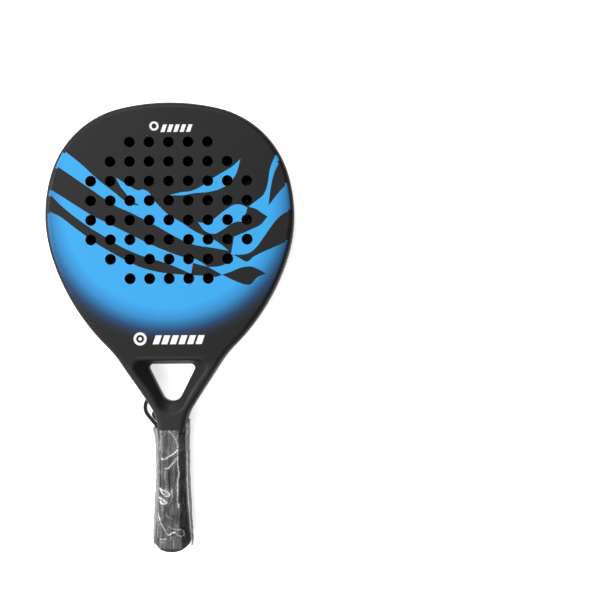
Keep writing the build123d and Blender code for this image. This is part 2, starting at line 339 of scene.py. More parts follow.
def print_axes(paint):
    """Place on either face from the printed field's middle."""
    x, y, z = paint.axes()
    side = paint.math("SIGN", paint.math("SUBTRACT", z, MID))
    across = paint.math("SUBTRACT", paint.math("MULTIPLY", x, side), PRINT_CENTRE[0] * MM)
    return across, paint.math("SUBTRACT", y, PRINT_CENTRE[1] * MM)


def field_tone(paint):
    """Blue of the printed field, fading out to the lacquer round its edge."""
    across, along = print_axes(paint)
    below = paint.math("MINIMUM", along, 0.0)
    squares = [paint.math("MULTIPLY", value, value) for value in (across, below)]
    reach = paint.math("SQRT", paint.math("ADD", *squares))
    share = paint.math("DIVIDE", reach, PRINT_RADIUS * MM)
    speckle = paint.span(paint.noise(1500.0, 2.0), 0.3, 0.7, -0.006, 0.006)
    return paint.ramp(paint.math("ADD", share, speckle), FIELD)


def print_materials():
    """Lacquer black, printed blue and printed white of the face sheets."""
    black = satin("print_black")
    black.set("Base Color", charcoal_tone(black))
    blue = satin("print_blue")
    blue.set("Base Color", field_tone(blue))
    white = satin("print_white")
    tint = white.span(white.noise(900.0, 3.0), 0.3, 0.7)
    white.set("Base Color", white.blend(tint, tuple(0.93 * value for value in WHITE), WHITE))
    return [black.material, blue.material, white.material]


def lacquer_material(name, switches):
    """Frame lacquer, lighter grey down the arms as painted light; the print runs a little onto it, on and
    off at angles round the head.
    """
    paint = satin(name)
    along_racket = paint.axes()[1]
    # Painted light: lighter grey down the arms.
    tone = paint.blend(paint.span(along_racket, *ARM_LIGHT_SPAN), charcoal_tone(paint), ARM_PAINTED_LIGHT)
    if switches:
        across, along = print_axes(paint)
        angle = paint.math("ARCTAN2", along, across)
        turn = paint.math("ADD", paint.math("DIVIDE", angle, tau), 0.5)
        printed = paint.ramp(turn, switches, "CONSTANT")
        height = paint.math("ABSOLUTE", paint.math("SUBTRACT", paint.axes()[2], MID))
        shallow, deep = RIM_DEPTHS
        near = paint.span(height, MID - deep * MM, MID - shallow * MM)
        tone = paint.blend(paint.math("MULTIPLY", printed, near), tone, field_tone(paint))
    paint.set("Base Color", tone)
    return paint.material


def foam_material(name, light, dark, cell):
    """Cut closed-cell foam."""
    paint = Paint(name, Roughness=0.9, Specular_IOR_Level=0.05)
    cells = paint.cells(cell)
    paint.set("Base Color", paint.blend(paint.span(cells, 0.1, 0.7), light, dark))
    paint.set("Normal", paint.bump(cells, 0.00012))
    return paint.material


def cap_material():
    """Moulded plastic with a fine spark-eroded texture."""
    paint = Paint("cap_plastic", Specular_IOR_Level=0.4)
    paint.set("Base Color", paint.blend(paint.noise(60.0), (0.010, 0.010, 0.010),
                                        (0.020, 0.020, 0.021)))
    paint.set("Roughness", paint.span(paint.noise(300.0), 0.3, 0.7, 0.5, 0.64))
    paint.set("Normal", paint.bump(paint.noise(5200.0, 4.0, roughness=0.7), 0.00004))
    return paint.material


def cushion_material():
    """Perforated cushioned tape: small holes in rows, painted darker as shade in them, over a fine pebbled
    skin.
    """
    paint = Paint("grip_cushion", Specular_IOR_Level=0.14, Sheen_Weight=0.03, Sheen_Roughness=0.5)
    x, y, z = paint.axes()
    angle = paint.math("ARCTAN2", paint.math("SUBTRACT", z, MID), x)
    round_about = paint.math("MULTIPLY", angle, PORE_RADIUS * MM)
    lean = paint.math("MULTIPLY", round_about, WRAP_PITCH / GRIP_GIRTH)
    along = paint.math("ADD", y, lean)
    flat = paint.node("CombineXYZ", {0: round_about, 1: along}).outputs[0]
    dots = paint.cells(1 / (PORE_PITCH * MM), flat, 0.0)
    pore_shade = paint.span(dots, 0.12, 0.17, 1.0, 0.0)
    tone = paint.blend(paint.noise(70.0), (0.010, 0.010, 0.010), (0.022, 0.022, 0.023))
    # Painted shade: the pores are coloured near black.
    paint.set("Base Color", paint.blend(pore_shade, tone, (0.003, 0.003, 0.003)))
    paint.set("Roughness", paint.span(paint.noise(500.0), 0.3, 0.7, 0.62, 0.78))
    pebbles = paint.bump(paint.noise(3200.0, 2.0), 0.00005)
    paint.set("Normal", paint.bump(paint.span(dots, 0.10, 0.20), 0.0003, pebbles))
    return paint.material


def vinyl_material():
    """Glossy vinyl tape, finely lined along its length."""
    paint = Paint("band_vinyl", Specular_IOR_Level=0.5)
    paint.set("Base Color", paint.blend(paint.noise(120.0), (0.009, 0.009, 0.009),
                                        (0.016, 0.016, 0.017)))
    lines = paint.noise(1.0, 2.0, paint.stretched((60.0, 2400.0, 60.0)))
    paint.set("Roughness", paint.span(lines, 0.3, 0.7, 0.3, 0.42))
    paint.set("Normal", paint.bump(lines, 0.00003))
    return paint.material


def braid_material():
    """Polyester yarn, with the filaments' sheen."""
    paint = Paint("cord_braid", Specular_IOR_Level=0.3, Sheen_Weight=0.25, Sheen_Roughness=0.4)
    paint.set("Base Color", paint.blend(paint.noise(900.0), (0.006, 0.006, 0.006),
                                        (0.014, 0.014, 0.015)))
    paint.set("Roughness", paint.span(paint.noise(1800.0), 0.3, 0.7, 0.6, 0.8))
    paint.set("Normal", paint.bump(paint.noise(6000.0, 2.0), 0.00005))
    return paint.material


def film_material():
    """Thin clear film: milky streaks, creases whitened partly by stress and partly as painted highlight,
    pressed edges greyed partly by their layers and partly as painted shade, gloss over all.
    """
    paint = Paint("clear_film", Roughness=0.2, IOR=1.6)
    haze, crease, seam = (paint.node("Attribute", attribute_name=name).outputs["Fac"]
                          for name in ("haze", "crease", "seam"))
    streaks = paint.noise(1.0, 3.0, paint.stretched((600.0, 40.0, 600.0)))
    streaked = paint.math("MULTIPLY", haze, paint.span(streaks, 0.35, 0.7, 0.6, 1.4))
    paint.set("Base Color", paint.blend(crease, (0.29, 0.292, 0.285), (0.85, 0.86, 0.86)))
    whitened = paint.math("MAXIMUM", paint.math("MULTIPLY", crease, 0.9), seam)
    paint.set("Alpha", paint.math("ADD", streaked, whitened, clamp=True))
    paint.set("Normal", paint.bump(paint.noise(1.0, 3.0, paint.stretched((900.0, 300.0, 900.0))),
                                   0.0002))
    return paint.material


# Camera

def add_camera():
    """Camera straight above, to the right of the racket."""
    data = bpy.data.cameras.new("camera")
    data.lens = LENS
    data.sensor_width = 36
    data.clip_start = 0.01
    made = bpy.data.objects.new("camera", data)
    made.location = CAMERA_SPOT
    made.rotation_euler = (0, 0, radians(CAMERA_TURN))
    bpy.context.scene.collection.objects.link(made)
    bpy.context.scene.camera = made


# Wrist cord

def route_line():
    """Points along the smooth spline that the cord's route controls."""
    route = [spot(*place) for place in CORD_OUT + CORD_LOOP + CORD_BACK]
    curve = bpy.data.curves.new("cord_route", "CURVE")
    curve.dimensions = "3D"
    curve.resolution_u = CORD_STEPS
    spline = curve.splines.new("NURBS")
    spline.points.add(len(route) - 1)
    for point, place in zip(spline.points, route):
        point.co = (*place, 1)
    spline.order_u = 3
    spline.use_endpoint_u = True
    holder = bpy.data.objects.new("cord_route", curve)
    drawn = bpy.data.meshes.new_from_object(holder)
    line = [vertex.co.copy() for vertex in drawn.vertices]
    bpy.data.objects.remove(holder)
    bpy.data.meshes.remove(drawn)
    return line


def braid_radius(travelled, angle):
    """Radius of the braid's surface, where two sets of strands cross."""
    turn = travelled / (BRAID_PITCH * MM) * tau
    crest = max(cos(STRANDS * angle + STRANDS * turn), cos(STRANDS * angle - STRANDS * turn))
    return (CORD / 2 - BRAID_RELIEF * (1 - crest) / 2) * MM


def closed_tube(line, sides, radius):
    """Points and faces of a tube with flat ends."""
    points = tube_rings(line, sides, radius)
    faces = grid_faces(len(line), sides)
    first = tuple(range(sides))
    return points, [*faces, first[::-1], tuple(len(points) - sides + i for i in first)]


def add_cord(material):
    """Braided cord along its route, and the knot that stops its ends."""
    line = route_line()
    knot = add_knot(material)
    points, faces = closed_tube(line, CORD_SIDES, braid_radius)
    made = add_piece("wrist_cord_braid", points, faces, material, ["wrist_cord"])


def add_knot(material):
    """Knot drawn up inside the butt, in the box that its CAD block fills."""
    low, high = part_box("cord_knot")
    middle, half = (low + high) / 2, (high - low) / 2
    yarn = KNOT_YARN * MM
    line = []
    for i in range(KNOT_STEPS):
        turn = tau * i / KNOT_STEPS
        lobe = KNOT_LOBES[0] + KNOT_LOBES[1] * cos(3 * turn)
        line.append(middle + Vector(((half.x - yarn) * lobe * cos(2 * turn),
                                     (half.y - yarn) * sin(3 * turn),
                                     (half.z - yarn) * lobe * sin(2 * turn))))
    points = tube_rings(line, CORD_SIDES, lambda travelled, angle: yarn)
    faces = grid_faces(KNOT_STEPS, CORD_SIDES, closed=True)
    return add_piece("wrist_cord_knot", points, faces, material, ["cord_knot"])


# Print on the face sheets, in millimetres from the middle of the racket. An outline is a list of
# runs; each run is a smooth curve through its points, and runs meet at corners.

UPPER_BAND = [
    [(-113, 185), (-103, 177), (-87, 164), (-71, 149), (-57, 138), (-46, 129), (-38, 124), (-29, 123)],
    [(-29, 123), (-36, 127), (-43, 135), (-49, 143), (-53, 151)],
    [(-53, 151), (-42, 144), (-31, 138), (-26, 139), (-20, 136), (-14, 127), (-1, 114), (12, 106),
     (27, 96), (47, 87), (60, 77)],
    [(60, 77), (44, 80), (26, 83), (11, 89), (-14, 103), (-39, 116), (-54, 123), (-82, 142),
     (-111, 162), (-119, 166)],
]
MIDDLE_BAND = [
    [(-124, 142), (-118, 139), (-96, 125), (-77, 113), (-63, 106), (-39, 94), (-19, 84), (0, 76),
     (14, 71), (26, 69), (39, 61)],
    [(39, 61), (31, 63), (24, 65)],
    [(24, 65), (22, 54)],
    [(22, 54), (2, 63), (-13, 68), (-29, 73), (-49, 82), (-63, 91), (-78, 100), (-96, 113),
     (-110, 125), (-118, 133), (-124, 136)],
]
WING = [
    [(72, 169), (63, 161), (46, 151), (33, 142), (22, 137), (13, 136), (0, 133)],
    [(0, 133), (14, 133), (26, 135), (39, 136), (51, 139), (61, 145), (68, 155), (72, 169)],
]
HOOK = [
    [(29, 106), (37, 105), (45, 109), (54, 116), (65, 123), (73, 123), (79, 120)],
    [(79, 120), (77, 114), (76, 106)],
    [(76, 106), (68, 106), (61, 103), (52, 97), (45, 94), (36, 97), (29, 106)],
]
RIGHT_BAND = [
    [(116, 182), (108, 173), (102, 160), (99, 143), (95, 133), (89, 128), (80, 121)],
    [(80, 121), (87, 119), (93, 115), (99, 111)],
    [(99, 111), (92, 103), (84, 99), (75, 95), (65, 91)],
    [(65, 91), (64, 84), (62, 73)],
    [(62, 73), (72, 73), (81, 75), (88, 81), (94, 89), (101, 99), (109, 109), (117, 115),
     (126, 117), (133, 118)],
    [(133, 118), (131, 156)],
    [(131, 156), (122, 147), (111, 136), (100, 122)],
    [(100, 122), (102, 138), (106, 155), (114, 170), (121, 178)],
]
LOWER_FIELD = [
    [(-126, 122), (-119, 117), (-109, 112), (-96, 102), (-73, 85), (-58, 76), (-36, 64), (-23, 59),
     (-5, 55), (17, 53), (35, 52), (47, 51), (53, 53)],
    [(53, 53), (46, 57), (39, 61)],
    [(39, 61), (47, 61), (55, 63), (61, 67), (64, 73)],
    [(64, 73), (70, 70), (78, 66), (85, 71), (95, 76), (109, 82), (123, 88), (134, 91)],
    [(134, 91), (134, -45)],
    [(134, -45), (-127, -45)],
]
LEAF = [
    [(53, 53), (62, 56), (72, 60), (82, 61), (90, 58), (97, 54)],
    [(97, 54), (88, 50), (81, 43), (70, 45), (53, 53)],
]
BLACK, BLUE, MARK = 0, 1, 2


def slanted_bar(left, low, width, height, slant=0.35):
    """Parallelogram that leans to the right."""
    lean = slant * height
    corners = [(left, low), (left + width, low), (left + width + lean, low + height),
               (left + lean, low + height)]
    return [[a, b] for a, b in zip(corners, corners[1:] + corners[:1])]


def disc(x, y, radius, sides=32):
    """Regular outline that reads as a circle."""
    corners = [(x + radius * cos(tau * i / sides), y + radius * sin(tau * i / sides))
               for i in range(sides)]
    return [[a, b] for a, b in zip(corners, corners[1:] + corners[:1])]


def marks():
    """Plain geometric marks above and below the drilled field."""
    upper = [slanted_bar(-8 + 6.4 * i, 196.5, 4.0, 7.5) for i in range(5)]
    lower = [slanted_bar(-17 + 8.6 * i, -16.5, 6.2, 9.0) for i in range(6)]
    rings = [(disc(-14.5, 202.5, 4.6), MARK), (disc(-14.5, 202.5, 2.6), BLACK),
             (disc(-29.5, -11.0, 6.6), MARK), (disc(-29.5, -11.0, 4.0), BLACK),
             (disc(-29.5, -11.0, 1.8), MARK)]
    return [(outline, MARK) for outline in upper + lower] + rings


def smooth_run(run):
    """Points along a curve through a run's points, without its last."""
    if len(run) == 2:
        return run[:1]
    spots = [Vector(point) for point in run]
    spots = [2 * spots[0] - spots[1], *spots, 2 * spots[-1] - spots[-2]]
    drawn = []
    for before, start, end, after in zip(spots, spots[1:], spots[2:], spots[3:]):
        reach = (end - start).length
        leave = (end - before) * reach / ((end - start).length + (start - before).length)
        enter = (after - start) * reach / ((after - end).length + (end - start).length)
        drawn += [bend(start, end, leave, enter, i / CURVE_STEPS) for i in range(CURVE_STEPS)]
    return drawn


def outline_points(outline):
    """Closed list of points round an outline; a gap between two runs is a straight edge."""
    drawn = []
    for run, following in zip(outline, outline[1:] + outline[:1]):
        drawn += smooth_run(run)
        if run[-1] != following[0]:
            drawn.append(run[-1])
    return [tuple(point) for point in drawn]


def artwork():
    """Outlines from the lowest layer up, each with its colour."""
    layers = [(UPPER_BAND, BLUE), (MIDDLE_BAND, BLUE), (WING, BLUE), (HOOK, BLUE),
              (RIGHT_BAND, BLUE), (LOWER_FIELD, BLUE), (LEAF, BLACK)]
    return [(outline_points(outline), colour) for outline, colour in layers + marks()]


def inside(spots, outline):
    """Which spots an outline holds, as an array of true and false."""
    x, y = spots[:, 0], spots[:, 1]
    held = np.zeros(len(spots), bool)
    for (ax, ay), (bx, by) in zip(outline, outline[1:] + outline[:1]):
        spans = (ay > y) != (by > y)
        if ay != by:
            held ^= spans & (x < (bx - ax) * (y - ay) / (by - ay) + ax)
    return held


def colours_at(spots, layers):
    """Colour of the top layer at each spot."""
    chosen = np.full(len(spots), BLACK)
    for outline, colour in layers:
        chosen[inside(spots, outline)] = colour
    return chosen


def sheet_loops():
    """Outline of the face sheet and the middles of its holes, in millimetres."""
    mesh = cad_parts["front_face"].data
    top = DEPTH - 0.1 * MM
    edges = set()
    for face in mesh.polygons:
        corners = [mesh.vertices[i].co for i in face.vertices]
        if min(corner.z for corner in corners) > top:
            keys = [(round(c.x / MM, 3), round(c.y / MM, 3)) for c in corners]
            edges.update(zip(keys, keys[1:] + keys[:1]))
    follows = {a: b for a, b in edges if (b, a) not in edges}
    loops = []
    while follows:
        start = min(follows)
        here = follows.pop(start)
        loop = [start]
        while here != start:
            loop.append(here)
            here = follows.pop(here)
        loops.append(loop)
    loops.sort(key=len)
    widest = max(loops, key=lambda loop: max(x for x, _ in loop) - min(x for x, _ in loop))
    middles = [tuple(np.mean(loop, axis=0)) for loop in loops if loop is not widest]
    return widest, middles


def ring_points(middle, radius, sides):
    """Points round a circle."""
    return [(middle[0] + radius * cos(tau * i / sides), middle[1] + radius * sin(tau * i / sides))
            for i in range(sides)]


def cut_sheet(outline, middles, layers):
    """Triangles of the printed side, cut along every printed edge, with each one's colour."""
    rim = HOLE_RADIUS + HOLE_CHAMFER
    loops = [outline] + [ring_points(middle, rim, HOLE_SIDES) for middle in middles]
    loops += [drawn for drawn, _ in layers]
    spots, edges = [], []
    for loop in loops:
        first = len(spots)
        spots += [Vector(point) for point in loop]
        edges += [(first + i, first + (i + 1) % len(loop)) for i in range(len(loop))]
    spots, _, faces, *_ = delaunay_2d_cdt(spots, edges, [], 0, 1e-5)
    spots = np.array([tuple(point) for point in spots])
    faces = np.array([tuple(face) for face in faces])
    centres = spots[faces].mean(axis=1)
    kept = inside(centres, outline)
    for middle in middles:
        kept &= np.hypot(*(centres - middle).T) > rim * cos(pi / HOLE_SIDES) - 1e-4
    return spots, faces[kept], colours_at(centres[kept], layers)


def rim_levels(point, middles):
    """Points down the edge of the sheet below one of its border points."""
    top = DEPTH / MM
    offsets = np.array(middles) - point
    nearest = int(np.argmin(np.hypot(*offsets.T)))
    reach = float(np.hypot(*offsets[nearest]))
    if reach > HOLE_RADIUS + 2 * HOLE_CHAMFER:
        return [(*point, top - SKIN)]
    outward = -offsets[nearest] / reach
    levels = []
    for turn in (35, 65, 90):
        grow = HOLE_CHAMFER * (1 - sin(radians(turn)))
        spot_2d = middles[nearest] + outward * (HOLE_RADIUS + grow)
        levels.append((*spot_2d, top - HOLE_CHAMFER * (1 - cos(radians(turn)))))
    return [*levels, (*(middles[nearest] + outward * HOLE_RADIUS), top - SKIN)]


def add_face(name, node, flip, materials, cut, middles):
    """Face sheet with its print, its holes' rounded rims and its underside."""
    spots, faces, colours = cut
    middles = [np.array(middle) for middle in middles]
    top = DEPTH / MM
    edges = dict.fromkeys((int(a), int(b)) for face in faces for a, b in zip(face, np.roll(face, -1)))
    border = [edge for edge in edges if edge[::-1] not in edges]
    points = [(x, y, top) for x, y in spots]
    ladders = {}
    for a, _ in border:
        levels = rim_levels(spots[a], middles)
        ladders[a] = [a] + list(range(len(points), len(points) + len(levels)))
        points += levels
    under = {a: ladder[-1] for a, ladder in ladders.items()}
    for index in {int(i) for face in faces for i in face} - set(under):
        under[index] = len(points)
        points.append((*spots[index], top - SKIN))
    shapes = [tuple(int(i) for i in face) for face in faces]
    slots = [int(colour) for colour in colours]
    shapes += [tuple(under[i] for i in shape[::-1]) for shape in shapes]
    slots += [BLACK] * len(slots)
    for a, b in border:
        left, right = ladders[a], ladders[b]
        if len(left) != len(right):
            left, right = [left[0], left[-1]], [right[0], right[-1]]
        for i in range(len(left) - 1):
            shapes.append((left[i], left[i + 1], right[i + 1], right[i]))
            slots.append(BLACK)
    turn = Matrix.Translation((0, 0, DEPTH)) @ Matrix.Rotation(pi, 4, "Y") if flip else Matrix()
    placed = [turn @ (Vector(point) * MM) for point in points]
    made = add_piece(name, placed, shapes, materials[0], [node], crease=50)
    for material in materials[1:]:
        made.data.materials.append(material)
    made.data.polygons.foreach_set("material_index", slots)
    flat = 2 * len(faces)
    made.data.polygons.foreach_set("use_smooth", [False] * flat + [True] * (len(shapes) - flat))
    tidy = bmesh.new()
    tidy.from_mesh(made.data)
    loose = [vertex for vertex in tidy.verts if not vertex.link_faces]
    bmesh.ops.delete(tidy, geom=loose, context="VERTS")
    bmesh.ops.recalc_face_normals(tidy, faces=tidy.faces)
    tidy.to_mesh(made.data)
    tidy.free()


def rim_switches(outline, layers):
    """Stops of a dial round the head, where the print on the frame's edge starts and ends."""
    centre = np.array(PRINT_CENTRE)
    border = np.array(outline)
    turns = np.arctan2(*(border - centre).T[::-1]) / tau + 0.5
    steps = np.linspace(0, 1, 2881)
    order = np.argsort(turns)
    reach = np.interp(steps, turns[order], np.hypot(*(border - centre).T)[order], period=1)
    angles = (steps - 0.5) * tau
    ring = centre + (reach + RIM / 2)[:, None] * np.stack([np.cos(angles), np.sin(angles)], axis=1)
    printed = colours_at(ring, layers) == BLUE
    stops = [(0.0, (float(printed[0]),) * 3)]
    for i in np.flatnonzero(printed[1:] != printed[:-1]):
        stops.append((float(steps[i + 1]), (float(printed[i + 1]),) * 3))
    return stops


# Handle

def grip_size(station):
    """Bound octagon at a station."""
    along = max(0.0, (station - FLARE_START) / (GRIP_END - FLARE_START)) ** FLARE_POWER
    return [size + growth * along for size, growth in zip(GRIP, FLARE)]


def octagon_reach(size, angle, sharpness=38):
    """Distance from the handle's axis to its softened octagon, in millimetres."""
    width, depth, leg = size
    slant = (width / 2 + depth / 2 - leg) / sqrt(2)
    planes = [(0, width / 2), (45, slant), (90, depth / 2), (135, slant)]
    total = sum((abs(cos(angle - radians(turn))) / reach) ** sharpness for turn, reach in planes)
    return total ** (-1 / sharpness)


def wrap_dip(station, angle):
    """Depth of the groove between two turns of the tape, and its soft crown."""
    phase = ((station - GRIP_START) / WRAP_PITCH + angle / tau) % 1.0
    near = min(phase, 1 - phase) * WRAP_PITCH
    return sum(depth * exp(-(near / width) ** 2) for depth, width in (WRAP_GROOVE, WRAP_CROWN))


def add_grip(material):
    """Cushioned tape wound round the handle, over the skirt of the cap."""
    rings = int((GRIP_END - GRIP_START) / GRIP_STEP)
    stations = [GRIP_START + (GRIP_END - GRIP_START) * i / rings for i in range(rings + 1)]
    depth, length = TAPE_ROUNDING
    points = []
    for outer in (True, False):
        for station in stations if outer else stations[::-1]:
            end = min(station - GRIP_START, GRIP_END - station)
            for s in range(GRIP_SIDES):
                angle = tau * s / GRIP_SIDES
                reach = octagon_reach(grip_size(station), angle)
                if outer:
                    reach -= wrap_dip(station, angle) + depth * max(0.0, 1 - end / length) ** 2
                else:
                    reach -= GRIP_TAPE
                points.append(spot(reach * cos(angle), station, MID / MM + reach * sin(angle)))
    faces = grid_faces(2 * len(stations), GRIP_SIDES, closed=True)
    add_piece("grip_wrap", points, faces, material, ["grip_tape"], 60)


# Clear sleeve: (station, left, right) of its pressed sides, in millimetres
FILM_SIDE = [(331.0, -20.0, 16.4), (345.0, -18.6, 16.8), (362.0, -17.8, 17.2), (382.0, -17.4, 17.3),
             (404.0, -18.5, 18.1), (426.0, -20.2, 19.5), (445.0, -21.0, 20.4), (451.0, -20.8, 20.3)]
# Creases seen from the front: (height, half width, whiteness, [(x, station), ...]); the whiteness is
# partly the film's stress whitening and partly painted highlight
CREASES = [
    (1.3, 0.55, 1.0, [(7.0, 351.0), (3.2, 354.8), (-1.4, 357.4), (-5.3, 359.9), (-9.4, 360.3)]),
    (1.1, 0.60, 0.75, [(5.6, 360.0), (3.4, 363.2), (0.4, 366.4), (-2.7, 369.6), (-5.3, 369.9)]),
    (0.9, 0.55, 0.45, [(-5.7, 374.5), (-6.0, 380.5)]),
    (1.0, 0.95, 0.40, [(-1.5, 331.7), (2.0, 335.5), (5.2, 340.1), (7.1, 346.6), (7.0, 351.0)]),
    (1.2, 0.45, 0.70, [(7.0, 351.0), (6.9, 364.5), (8.1, 374.8), (7.1, 381.3), (6.9, 401.6)]),
    (0.8, 0.60, 0.35, [(-9.1, 331.0), (-9.9, 338.7), (-11.2, 351.6)]),
    (1.2, 0.60, 1.0, [(-10.8, 390.6), (-8.2, 394.8), (-5.2, 397.8), (-2.6, 397.8), (-1.0, 395.8),
                      (-3.0, 393.8), (-7.1, 391.7), (-10.8, 390.6)]),
    (0.9, 0.70, 0.55, [(1.1, 390.7), (1.6, 398.4)]),
    (1.2, 0.85, 1.0, [(-11.4, 399.4), (-7.7, 401.4), (-4.1, 404.1), (-6.3, 405.3), (-9.4, 405.0),
                      (-10.6, 402.9)]),
    (0.9, 0.60, 0.90, [(7.6, 406.0), (7.7, 408.4)]),
    (1.1, 0.50, 0.65, [(-13.0, 416.3), (-10.1, 424.6), (-7.5, 429.3), (-5.0, 433.3), (-3.9, 435.0)]),
    (1.2, 0.60, 1.0, [(-3.4, 436.2), (-1.4, 436.5), (1.3, 434.5), (3.8, 434.0)]),
    (0.9, 0.35, 0.50, [(3.8, 434.0), (6.9, 436.6), (9.9, 438.1), (13.0, 436.6), (12.1, 433.0),
                       (9.0, 430.9), (5.9, 431.4), (1.8, 430.4), (-2.3, 428.5)]),
    (0.9, 0.70, 0.50, [(-10.2, 440.8), (-5.1, 440.8)]),
    (0.8, 0.60, 0.30, [(2.4, 442.7), (2.6, 450.0)]),
    (0.8, 0.70, 0.25, [(-5.3, 416.4), (-1.2, 419.5), (0.9, 420.6)]),
]
# Milky patches beside them: (half width, half length, whiteness, (x, station))
PATCHES = [
    (3.2, 3.5, 0.42, (-4.6, 395.5)), (1.6, 4.2, 0.55, (1.0, 394.5)), (1.6, 6.0, 0.32, (-9.0, 407.5)),
    (2.6, 3.2, 0.26, (0.6, 439.5)), (3.0, 2.4, 0.30, (-8.6, 443.5)), (1.4, 9.0, 0.22, (-9.6, 338.0)),
    (3.2, 1.6, 0.16, (4.5, 337.5)), (1.0, 8.0, 0.20, (-6.2, 377.0)), (3.0, 7.0, 0.10, (0.5, 412.0)),
]
# Smokiness of the pressed sides, partly their layered film and partly painted shade and dark reflection:
# (station, left, right)
SEAM_HAZE_AND_SHADE = [(331.0, 0.62, 0.44), (405.0, 0.62, 0.44), (440.0, 0.88, 0.50)]
# Streaks of the haze: (strength, cells to the millimetre across, length of a cell, shift in depth)
STREAKS = [(0.16, 0.42, 34.0, 0.0), (0.09, 1.6, 20.0, 7.0), (0.08, 0.12, 9.0, 3.0)]


def film_haze(grid, sizes):
    """Milkiness of the sleeve: streaks down its front, next to none on the far bevel, as painted shade
    there.
    """
    haze = np.zeros(grid.shape[:2])
    inside_by, fade = HAZE_EDGE
    for r, (width, _, leg) in enumerate(sizes):
        edge = width / 2 - leg - inside_by
        for s, (x, station, z) in enumerate(grid[r]):
            streaks = sum(strength * noise.noise(Vector((x * across, station / along, z * across + shift)))
                          for strength, across, along, shift in STREAKS)
            front = 1 - min(1.0, max(0.0, (x - edge) / fade))
            # Painted shade: little haze on the far bevel.
            haze[r, s] = max(0.0, HAZE + streaks) * (HAZE_ON_SHADED_BEVEL + (1 - HAZE_ON_SHADED_BEVEL) * front)
    return haze


def fin(side, root, tip, middle):
    """Pressed side of the sleeve, from its upper root round its edge to its lower root."""
    inner = tip - side * FIN_TAPER
    return [(root, middle + FIN_ROOT), (inner, middle + FIN_EDGE), (tip, middle),
            (inner, middle - FIN_EDGE), (root, middle - FIN_ROOT)]


def film_section(station):
    """Closed run of (x, z) round the pressed sleeve at a station, in millimetres."""
    places, lefts, rights = zip(*FILM_SIDE)
    width, depth, leg = grip_size(min(station, GRIP_END))
    half = width / 2
    flat = half - leg
    middle = MID / MM
    top = middle + depth / 2 + FILM_GAP
    low = middle - depth / 2 + leg - 1.0
    sway = FIN_SWAY[0] * sin(station / FIN_SWAY[1])
    pouch = POUCH[0] * max(0.0, 1 - (station - FILM_START) / POUCH[1])
    right_fin = fin(1, half + FIN_GAP, float(np.interp(station, places, rights)), middle + sway)
    left_fin = fin(-1, -half - FIN_GAP, float(np.interp(station, places, lefts)), middle - sway)
    root_x, root_z = left_fin.pop()
    return [(flat * 0.55, top), (flat + 0.5, top - 0.15), (half + 0.7, top - leg - 0.2), *right_fin,
            (half + 0.8, low), (flat + 0.6, 2.2), (flat * 0.3, 0.7), (-flat * 0.3, 0.7),
            (-flat - 0.6 - pouch, 2.2 - 0.14 * pouch), (-half - 0.8 - 0.75 * pouch, low - 0.45 * pouch),
            (root_x - 0.4 * pouch, root_z), *left_fin[::-1],
            (-half - 0.7, top - leg - 0.2), (-flat - 0.5, top - 0.15), (-flat * 0.55, top)]


def closed_curve(corners, count):
    """Evenly spaced points round a smooth closed curve through some corners."""
    spots = [Vector(corner) for corner in corners]
    size = len(spots)
    steps = 10
    drawn = []
    for i in range(size):
        before, start, end, after = (spots[(i + k) % size] for k in (-1, 0, 1, 2))
        leave, enter = (end - before) / 2, (after - start) / 2
        drawn += [bend(start, end, leave, enter, j / steps) for j in range(steps)]
    drawn = np.array([tuple(point) for point in drawn + drawn[:1]])
    lengths = np.concatenate([[0], np.cumsum(np.hypot(*np.diff(drawn, axis=0).T))])
    even = np.linspace(0, lengths[-1], count, endpoint=False)
    return np.stack([np.interp(even, lengths, drawn[:, k]) for k in (0, 1)], axis=1)


def distance_to(places, line):
    """Distance from places to a broken line, all in plan."""
    nearest = np.full(len(places), 1e9)
    for a, b in zip(line, line[1:]):
        a, b = np.array(a), np.array(b)
        run = b - a
        share = np.clip(((places - a) @ run) / (run @ run), 0, 1)
        nearest = np.minimum(nearest, np.hypot(*(places - a - share[:, None] * run).T))
    return nearest


def ridge(x, y, z):
    """Sharp-crested noise from 0 to 1."""
    return max(0.0, 1 - 2.6 * abs(noise.noise(Vector((x, y, z)))))


def film_grid(stations):
    """(x, station, z) of the smooth sleeve's points, its right side drawn up the neck."""
    start, over, height = FILM_RISE
    rows = []
    for station in stations:
        section = closed_curve(film_section(station), FILM_SIDES)
        rise = np.clip((section[:, 0] - start) / over, 0, 1)
        to_end = (FILM_END - station) / (FILM_END - FILM_START)
        drawn_up = height * to_end * rise ** 2 * (3 - 2 * rise)
        rows.append(np.column_stack([section[:, 0], station - drawn_up, section[:, 1]]))
    return np.array(rows)


def outward_normals(grid):
    """Unit normals of the sleeve's points, away from the handle's axis."""
    across = np.roll(grid, -1, axis=1) - np.roll(grid, 1, axis=1)
    normal = np.stack([across[..., 2], np.zeros(across.shape[:2]), -across[..., 0]], axis=2)
    normal /= np.linalg.norm(normal, axis=2)[..., None]
    from_axis = (grid - [0.0, 0.0, MID / MM]) * [1, 0, 1]
    return normal * np.sign(np.sum(normal * from_axis, axis=2).sum())


def fold_heights(stations):
    """Heights of the long folds and the crumples all over the sleeve."""
    heights = np.zeros((FILM_RINGS, FILM_SIDES))
    for r, station in enumerate(stations):
        for s, turn in enumerate(np.linspace(0, tau, FILM_SIDES, endpoint=False)):
            for (height, cells, length), lean in ((FOLDS, 0.0), (CRUMPLES, station / CRUMPLE_LEAN)):
                fold = ridge(cells * cos(turn) + lean, station / length, cells * sin(turn))
                heights[r, s] += height * fold ** 2
    return heights


